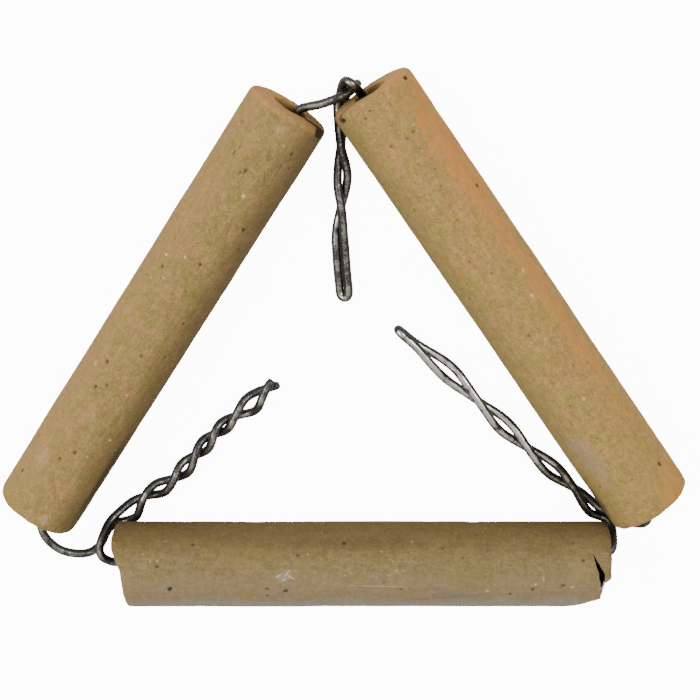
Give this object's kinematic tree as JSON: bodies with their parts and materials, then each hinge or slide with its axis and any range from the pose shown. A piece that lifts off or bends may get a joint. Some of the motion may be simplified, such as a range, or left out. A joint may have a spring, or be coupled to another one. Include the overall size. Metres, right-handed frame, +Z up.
{
  "type": "pipe clay triangle",
  "caption": "Triangular support for a crucible: fireclay tubes threaded on an iron wire that is folded at each corner into a twisted tail, with the tails tucked inwards.",
  "frame": {"origin": "middle of the outline in plan, at the level that the part rests on", "axes": "+X along the bottom tube towards its broken end, +Y from the bottom tube towards the opposite corner, +Z up; the part lies flat"},
  "size_m": [0.0836, 0.067, 0.0106],
  "materials": {
    "clay_left": "matt fired clay, pinkish tan, stained and pitted",
    "clay_right": "matt fired clay, tan with an orange stain along the outside",
    "clay_bottom": "matt fired clay, olive tan, darker towards the inside, with a cracked end",
    "iron_wire": "dark oxidised iron, half glossy"
  },
  "bodies": {
    "frame": {"wire": "iron_wire"},
    "left_sleeve": {"tube_left": "clay_left"},
    "right_sleeve": {"tube_right": "clay_right"},
    "bottom_sleeve": {"tube_bottom": "clay_bottom"}
  },
  "joints": [
    {"name": "left_turn", "type": "hinge", "parent": "frame", "child": "left_sleeve", "pos_m": [-0.02193, 0.00381, 0.00515], "axis": [0.5324, 0.8465, 0], "continuous": true},
    {"name": "right_turn", "type": "hinge", "parent": "frame", "child": "right_sleeve", "pos_m": [0.02038, 0.00523, 0.0053], "axis": [0.5604, -0.8282, 0], "continuous": true},
    {"name": "bottom_turn", "type": "hinge", "parent": "frame", "child": "bottom_sleeve", "pos_m": [0.00212, -0.02822, 0.0053], "axis": [1, 0, 0], "continuous": true}
  ]
}
